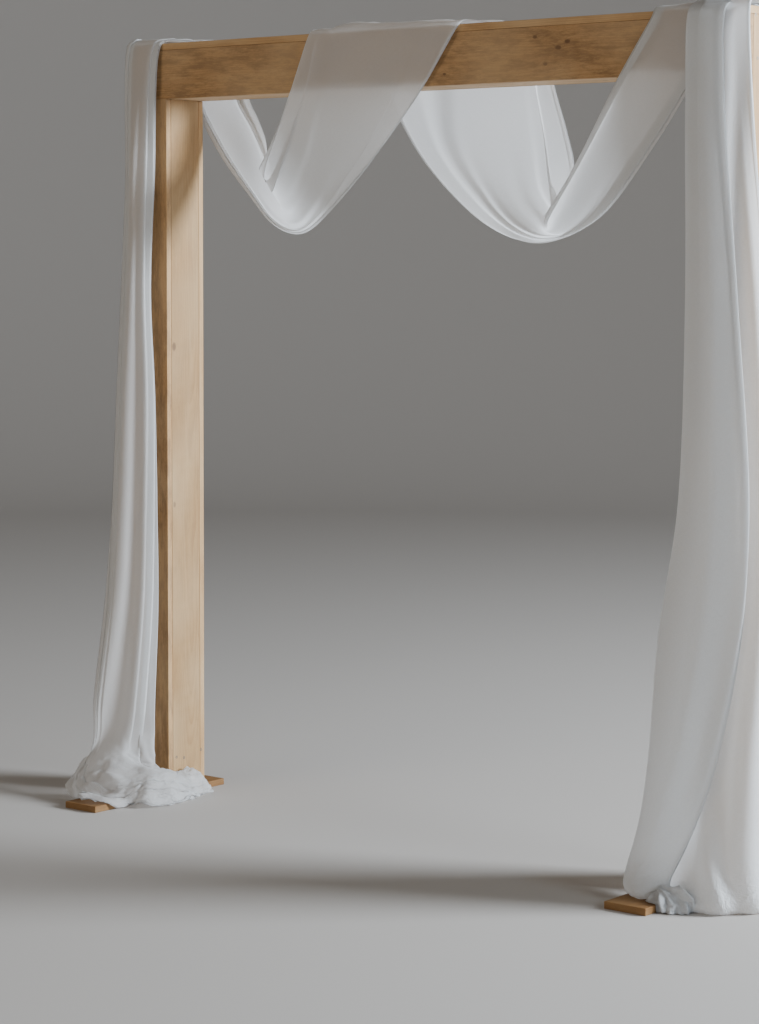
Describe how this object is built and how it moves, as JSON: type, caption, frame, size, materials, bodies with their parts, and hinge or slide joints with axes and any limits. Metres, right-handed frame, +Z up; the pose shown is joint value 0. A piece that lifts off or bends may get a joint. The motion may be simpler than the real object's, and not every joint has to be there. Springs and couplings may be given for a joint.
{
  "type": "draped timber wedding arbor",
  "caption": "Free-standing arbor of boxed softwood planks on flat foot boards, with a white muslin drape wound over its beam in swags and falling beside each post.",
  "frame": {"origin": "on the floor, midway between the posts and halfway along the foot boards", "axes": "+X along the beam, +Y from the front to the back, +Z up"},
  "size_m": [2.3336, 0.52, 2.1103],
  "materials": {
    "softwood": "raw planed softwood",
    "muslin": "matt, slightly sheer muslin"
  },
  "bodies": {
    "root": {"foot_board_left": "softwood", "foot_board_right": "softwood", "post_left_front_board": "softwood", "post_left_back_board": "softwood", "post_left_inner_board": "softwood", "post_left_outer_board": "softwood", "post_right_front_board": "softwood", "post_right_back_board": "softwood", "post_right_inner_board": "softwood", "post_right_outer_board": "softwood", "beam_front_board": "softwood", "beam_back_board": "softwood", "beam_top_board": "softwood", "beam_bottom_board": "softwood", "drape_over_beam_left": "muslin", "drape_over_beam_middle": "muslin", "drape_over_beam_right": "muslin", "drape_swag_left": "muslin", "drape_swag_right": "muslin", "drape_curtain_left": "muslin", "drape_curtain_right_front": "muslin", "drape_curtain_right_side": "muslin", "drape_puddle_left": "muslin", "drape_puddle_right": "muslin"}
  },
  "joints": []
}
